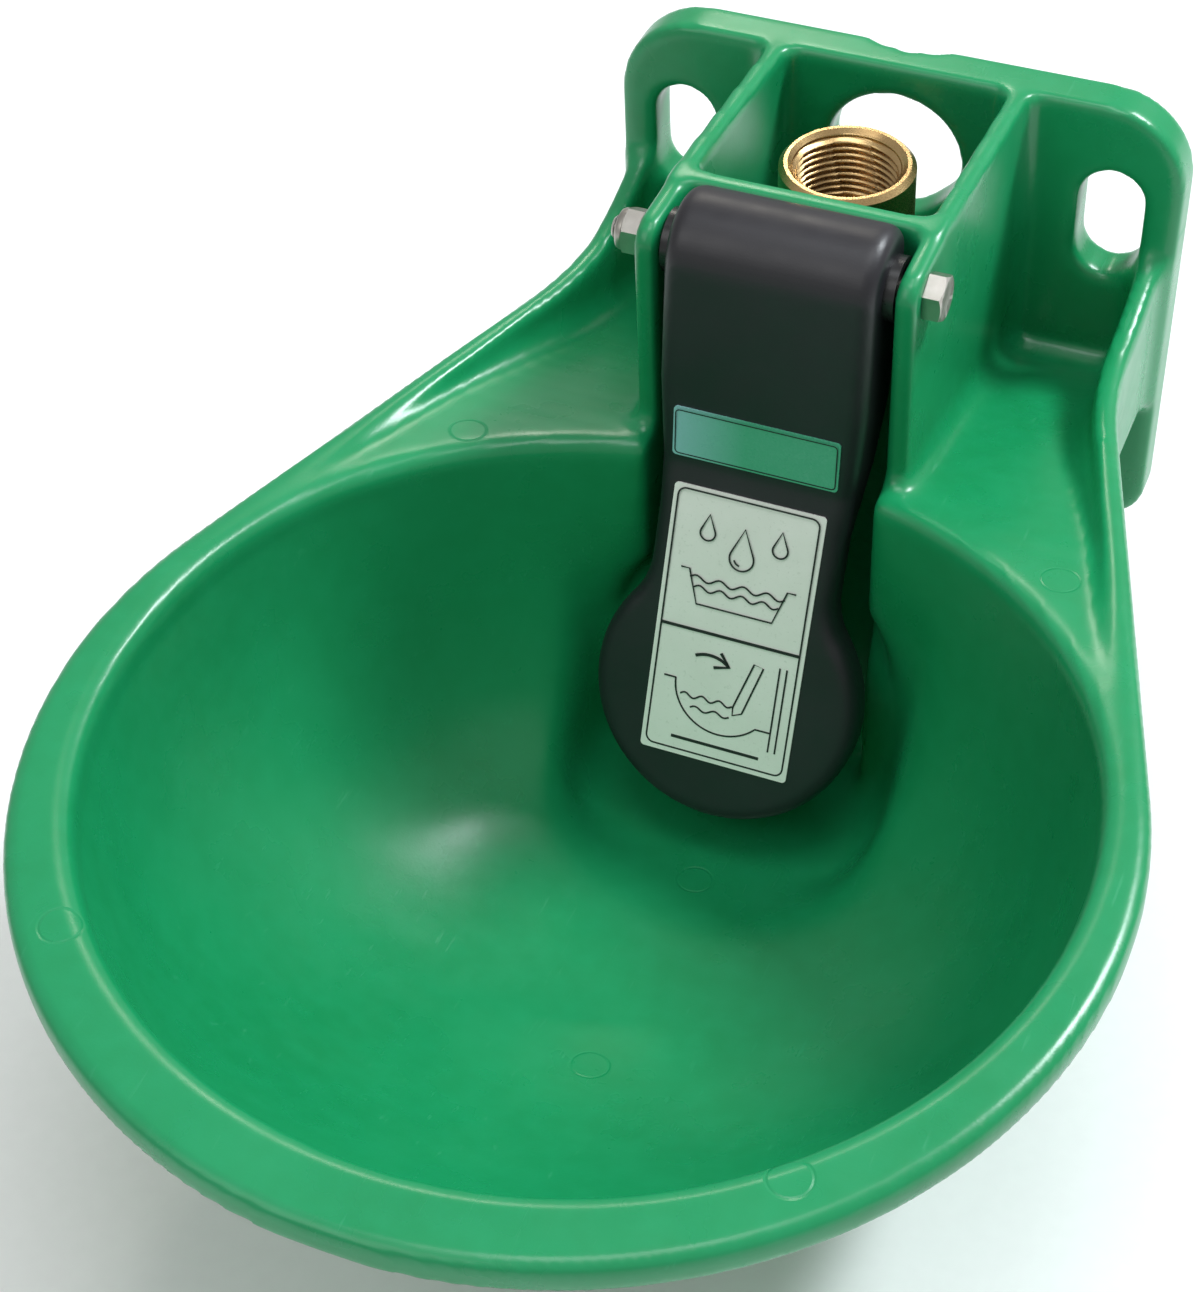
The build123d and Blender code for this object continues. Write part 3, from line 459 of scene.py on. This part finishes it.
def ray(pixel):
    """Direction from the camera through a pixel of the photograph."""
    x = (pixel[0] - CAMERA_CENTRE[0]) / CAMERA_FOCUS
    y = (CAMERA_CENTRE[1] - pixel[1]) / CAMERA_FOCUS
    return (RIGHT * x + UP * y - BACK).normalized()


# ============================================================ bowl moulding
def pocket_share(x, y, z):
    """Where the ribs meet plate and decks, outside the housing, the corners are wider."""
    beside = ramp(np.abs(x), *POCKET_ACROSS)
    return beside * ramp(y, *POCKET_ALONG) * ramp(-y, *POCKET_AHEAD) * ramp(-z, *POCKET_BELOW)


def inside_bowl(points, normals):
    """The faces inside the bowl, away from its rim and the housing."""
    reach = np.hypot(points[:, 0], points[:, 1] - BOWL_Y)
    inward = np.array((0, BOWL_Y, RIM_Z + BOWL_EYE)) - points
    facing = np.einsum("ij,ij->i", inward, normals) / np.linalg.norm(inward, axis=1)
    near_paddle = ramp(points[:, 1], *BOWL_TO_PADDLE)
    return ((facing > 0.05) * ramp(RIM_Z - points[:, 2], *BOWL_BELOW_RIM) * (1 - near_paddle)
            * (1 - ramp(reach, *BOWL_REACH)))


def well_front(points, normals):
    """In front of the tongue the well runs out flat into the bowl."""
    return inside_bowl(points, normals) * ramp(-points[:, 1], *WELL_AHEAD)


voxel = BOWL_VOXEL
cad_skin = node_skin("bowl_body")
plain_skin = hollows_filled(cad_skin, voxel, BOWL_CORNER)
pocket_skin = hollows_filled(cad_skin, voxel, POCKET_CORNER)
moulding_skin = edges_eased(blended(plain_skin, pocket_skin, voxel, pocket_share), voxel, BOWL_EDGE)
moulding_skin = relaxed(moulding_skin, inside_bowl, BOWL_EVENING)
moulding_skin = relaxed(moulding_skin, well_front, WELL_EVENING)
moulding = skin_object("bowl_moulding", moulding_skin)
surface = BVHTree.FromObject(moulding, bpy.context.evaluated_depsgraph_get())
marks = [surface.ray_cast(EYE, ray(pixel))[0] for pixel in MARK_PIXELS]
dress(moulding, green_plastic(marks), "bowl", "green_polypropylene", "bowl_body")

# ============================================================ paddle
voxel = PADDLE_VOXEL
paddle_skin = edges_eased(hollows_filled(node_skin("paddle"), voxel, PADDLE_CORNER), voxel, PADDLE_EDGE)
paddle = skin_object("paddle_moulding", paddle_skin)
dress(paddle, BLACK_NYLON, "paddle", "black_nylon", "paddle")


# ============================================================ spring, a copy of the CAD coil
spring = bpy.data.objects.new("valve_spring_coil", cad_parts["valve_spring"].data.copy())
bpy.context.scene.collection.objects.link(spring)
spring.data.materials.clear()
dress(spring, SPRING_STEEL, "bowl", "spring_steel", "valve_spring")
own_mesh(spring)


# ============================================================ label art
def label_frame(node):
    """Centre, right, up and outward directions of a label, read from its solid."""
    points = node_skin(node)[0]
    centre = (points.min(0) + points.max(0)) / 2
    spread = points - centre
    top, low = points[points[:, 2].argmax()], points[points[:, 2].argmin()]
    up = Vector((0, top[1] - low[1], top[2] - low[2]))
    up.normalize()
    out = Vector((1, 0, 0)).cross(up)
    height = float((spread @ np.array(out)).max())
    return Vector(centre) + out * height, Vector((1, 0, 0)), up, out


def strokes(name, node, slot, lines, width):
    """Ink lines on a label: each line is a list of (x, y) points in millimetres from its centre."""
    centre, right, up, out = label_frame(node)
    points, faces = [], []
    for line in lines:
        path = [Vector(p) for p in line]
        closed = (path[0] - path[-1]).length < 1e-6
        for i, here in enumerate(path):
            before = path[i - 1] if i else (path[-2] if closed else here)
            after = path[i + 1] if i + 1 < len(path) else (path[1] if closed else here)
            along = (after - before).normalized()
            side = Vector((-along.y, along.x)) * width / 2
            for offset in (side, -side):
                for lift in (0.0, INK_LIFT):
                    spot = here + offset
                    points.append(centre + right * spot.x + up * spot.y + out * lift)
            if i:
                a, b = len(points) - 8, len(points) - 4
                faces += [(a + 1, a + 3, b + 3, b + 1), (a, b, b + 2, a + 2),
                          (a, a + 1, b + 1, b), (a + 2, b + 2, b + 3, a + 3)]
        first, last = len(points) - 4 * len(path), len(points) - 4
        faces += [(first, first + 2, first + 3, first + 1), (last, last + 1, last + 3, last + 2)]
    art = mesh_object(name, points, faces)
    art.data.polygons.foreach_set("use_smooth", [False] * len(art.data.polygons))
    return dress(art, INK, "paddle", slot)


def arc(cx, cy, rx, ry, start, end, steps):
    """Part of an ellipse, from start to end in degrees."""
    return [(cx + rx * cos(radians(start + (end - start) * i / steps)),
             cy + ry * sin(radians(start + (end - start) * i / steps))) for i in range(steps + 1)]


def drop(cx, cy, size):
    """A water drop: a round foot that runs up into a point."""
    foot = arc(cx, cy, size, size, 155, 385, 28)
    tip = (cx, cy + 2.5 * size)
    return [tip] + foot + [tip]


def waves(cx, cy, length, height, count, steps=40):
    """A water line with this many waves."""
    return [(cx - length / 2 + length * i / steps, cy + height * sin(2 * pi * count * i / steps))
            for i in range(steps + 1)]


def rounded_box(cx, cy, w, h, r):
    """A closed box with rounded corners."""
    path = []
    for sx, sy, start in ((1, 1, 0), (-1, 1, 90), (-1, -1, 180), (1, -1, 270)):
        path += arc(cx + sx * (w / 2 - r), cy + sy * (h / 2 - r), r, r, start, start + 90, 6)
    return path + [path[0]]


fine = [rounded_box(0, 0.2, 28.0, 53.2, 1.6)]
# upper panel: three drops falling on water in a wide trough
fine += [drop(-7.2, 19.0, 1.5), drop(0, 15.5, 2.4), drop(7.2, 19.0, 1.5)]
fine += [arc(0, 15.5, 1.5, 1.5, 200, 260, 8)]
fine += [waves(0, 9.6, 19, 0.55, 4), waves(0, 7.7, 17, 0.5, 4)]
fine += [[(-11.5, 11.2), (-9.8, 11.2), (-7.6, 4.4), (7.6, 4.4), (9.8, 11.2), (11.5, 11.2)]]
# lower panel: a bowl on a wall, cut through, with its paddle and an arrow
fine += [[(10.6, -4.2), (10.6, -22.0)], [(12.0, -4.2), (12.0, -22.0)]]
fine += [[(-12.0, -11.6), (-9.6, -11.6)] + arc(0.2, -11.6, 9.8, 9.6, 180, 318, 26) + [(10.6, -18.0)]]
fine += [waves(-3.0, -14.6, 10.6, 0.45, 3), waves(-2.0, -17.0, 8.0, 0.4, 2)]
fine += [[(7.4, -5.2), (4.4, -15.6), (2.6, -16.4), (2.5, -14.6), (5.5, -4.8), (7.4, -5.2)]]
bold = [[(-14.0, -0.9), (14.0, -0.9)], arc(-3.4, -11.5, 6.2, 6.2, 118, 50, 14),
        [(-1.3, -4.3), (0.7, -6.8), (-2.4, -7.6)], [(-9, -23.9), (9, -23.9)]]
strokes("label_line_art", "instruction_label", "white_label", fine, FINE_LINE)
strokes("label_bold_art", "instruction_label", "white_label", bold, BOLD_LINE)
strokes("name_label_border", "name_label", "teal_label", [rounded_box(0, 0, 31.4, 9.6, 0.8)], BORDER_LINE)


# ============================================================ turned and threaded pieces
def ring_faces(turns, rings, closed=True):
    """Quads round an axis, between sections of this many points each."""
    faces = []
    for i in range(turns):
        k = (i + 1) % turns
        for j in range(rings if closed else rings - 1):
            m = (j + 1) % rings
            faces.append((i * rings + j, i * rings + m, k * rings + m, k * rings + j))
    return faces


def round_piece(name, profile, centre, axis):
    """A closed piece turned about an axis; profile is (along, radius) points round its section."""
    along = Vector(axis)
    side = along.orthogonal().normalized()
    other = along.cross(side)
    points = []
    for i in range(BOLT_TURNS):
        angle = 2 * pi * i / BOLT_TURNS
        outward = side * cos(angle) + other * sin(angle)
        points += [Vector(centre) + along * reach + outward * radius for reach, radius in profile]
    return mesh_object(name, points, ring_faces(BOLT_TURNS, len(profile)), 35)


def inner_thread():
    """The inlet's helical thread: crests stand in from the bore's wall."""
    rows = int((THREAD_TOP - THREAD_FLOOR) / THREAD_PITCH * THREAD_ROWS)
    step = (THREAD_TOP - THREAD_FLOOR) / rows
    back = THREAD_RADIUS + THREAD_SEAT
    points = []
    for i in range(THREAD_TURNS):
        angle = 2 * pi * i / THREAD_TURNS
        for j in range(rows + 1):
            phase = (j * step / THREAD_PITCH - i / THREAD_TURNS) % 1.0
            crest = 1 - abs(2 * phase - 1)
            fade = min(1.0, j / THREAD_RUN_IN, (rows - j) / THREAD_RUN_OUT)
            r = THREAD_RADIUS + 0.02 - THREAD_DEPTH * fade * min(1, max(0, 1.25 * crest - 0.12))
            points.append((r * cos(angle), INLET_Y + r * sin(angle), THREAD_FLOOR + j * step))
        for z in (THREAD_TOP, THREAD_FLOOR):
            points.append((back * cos(angle), INLET_Y + back * sin(angle), z))
    return mesh_object("inlet_thread", points, ring_faces(THREAD_TURNS, rows + 3), 50)


dress(inner_thread(), BRASS, "bowl", "brass")


def hexagon(flats, height, bore, x_face, outward, recess, both):
    """A hexagon head or nut on the pivot axis, its corners chamfered by a cone at one end or both."""
    half = flats / 2
    middle = bore + BORE_CHAMFER if bore else half * 0.5
    points = []
    for i in range(HEX_TURNS):
        angle = 2 * pi * i / HEX_TURNS
        to_flat = ((angle + pi / 6) % (pi / 3)) - pi / 6
        corner = half / cos(to_flat)
        chamfer = max(0.0, (corner - half * HEX_CHAMFER_FROM) * tan(radians(HEX_CHAMFER_ANGLE)))
        foot = chamfer if both else 0.0
        section = [(0.0, bore), (0.0, half * HEX_FOOT), (foot, corner), (height - chamfer, corner),
                   (height, half * HEX_CROWN), (height - recess, middle), (height - recess, bore)]
        for reach, radius in section:
            points.append((x_face + outward * reach,
                           PIVOT_Y + radius * cos(angle), PIVOT_Z + radius * sin(angle)))
    return points, ring_faces(HEX_TURNS, len(section))


def rod(x_start, x_end, depth, rows_to_pitch):
    """The bolt's shank or, with a thread's depth, its tail, with a chamfered tip at x_end."""
    rows = max(2, int(abs(x_end - x_start) / BOLT_PITCH * rows_to_pitch))
    points = []
    for i in range(BOLT_TURNS):
        angle = 2 * pi * i / BOLT_TURNS
        points.append((x_start, PIVOT_Y, PIVOT_Z))
        for j in range(rows + 1):
            x = x_start + (x_end - x_start) * j / rows
            phase = (abs(x - x_start) / BOLT_PITCH - i / BOLT_TURNS) % 1.0
            r = BOLT_RADIUS - depth * (1 - abs(2 * phase - 1))
            r = min(r, BOLT_RADIUS - max(0.0, BOLT_TIP_CHAMFER - abs(x - x_end)))
            points.append((x, PIVOT_Y + r * cos(angle), PIVOT_Z + r * sin(angle)))
        points.append((x_end, PIVOT_Y, PIVOT_Z))
    return points, ring_faces(BOLT_TURNS, rows + 3, closed=False)


def joined(name, *parts):
    """One object from several (points, faces) pairs."""
    points, faces = [], []
    for part_points, part_faces in parts:
        faces += [tuple(v + len(points) for v in face) for face in part_faces]
        points += part_points
    return mesh_object(name, points, faces, 32)


nut_face = -CHEEK_OUT
insert_face = nut_face - NUT_HEIGHT
bolt_end = insert_face - INSERT_HEIGHT - BOLT_TAIL
head = hexagon(HEAD_FLATS, HEAD_HEIGHT, 0.0, CHEEK_OUT, 1, HEAD_RECESS, False)
shank = rod(CHEEK_OUT + SHANK_IN, insert_face, 0.0, 2)
tail = rod(insert_face + TAIL_IN, bolt_end, BOLT_THREAD_DEPTH, 10)
bolt = joined("pivot_bolt_detail", head, shank, tail)
nut = joined("pivot_nut_detail", hexagon(HEAD_FLATS, NUT_HEIGHT, BOLT_RADIUS, nut_face, -1, 0.0, True))
crown = round_piece("pivot_nut_crown", NUT_CROWN, (insert_face, PIVOT_Y, PIVOT_Z), (-1, 0, 0))
ring = round_piece("nut_insert_detail", NUT_INSERT, (insert_face, PIVOT_Y, PIVOT_Z), (-1, 0, 0))
dress(bolt, STEEL, "bowl", "stainless_steel", "pivot_bolt")
dress(nut, STEEL, "bowl", "stainless_steel", "pivot_nut")
dress(crown, STEEL, "bowl", "stainless_steel")
dress(ring, BLUE_NYLON, "bowl", "blue_nylon", "nut_insert")

# ============================================================ stage and light
floor_z = cad_box[0][2] / MM - FLOOR_GAP
corners = [(x * FLOOR_REACH, y * FLOOR_REACH, floor_z) for x, y in ((-1, -1), (1, -1), (1, 1), (-1, 1))]
floor = mesh_object("floor", corners, [(0, 1, 2, 3)])
floor.data.materials.append(soft("pale_floor", (0.90, 0.90, 0.90), (0.88, 0.88, 0.88), 0.6, 2.0, 0.002))

world = bpy.data.worlds.new("studio")
world.use_nodes = True
background = world.node_tree.nodes["Background"]
background.inputs["Color"].default_value = (1.0, 1.0, 1.0, 1)
background.inputs["Strength"].default_value = 0.46
bpy.context.scene.world = world


def softbox(name, place, target, size, watts, tint):
    """A rectangular light that faces its target."""
    lamp = bpy.data.lights.new(name, "AREA")
    lamp.shape = "RECTANGLE"
    lamp.size, lamp.size_y = size
    lamp.energy = watts
    lamp.color = tint
    obj = bpy.data.objects.new(name, lamp)
    bpy.context.scene.collection.objects.link(obj)
    obj.location = place
    obj.rotation_euler = (Vector(target) - Vector(place)).to_track_quat("-Z", "Y").to_euler()


# two windows behind the bowl give the highlights in it, a ceiling and a front cloth the even light
softbox("window_right", (0.62, 0.555, 1.03), (-0.03, -0.14, -0.06), (0.28, 0.34), 18.0, (0.90, 0.96, 1.0))
softbox("window_left", (-0.42, 0.95, 0.83), (0.02, -0.15, -0.06), (0.16, 0.16), 1.8, (1.0, 0.95, 0.84))
softbox("ceiling", (0.05, -0.2, 1.3), (0, -0.12, 0), (0.6, 0.5), 4.2, (0.94, 0.97, 1.0))
softbox("front_cloth", (-0.45, -0.95, 0.95), (0, -0.14, -0.03), (0.9, 0.7), 3.0, (1.0, 1.0, 1.0))
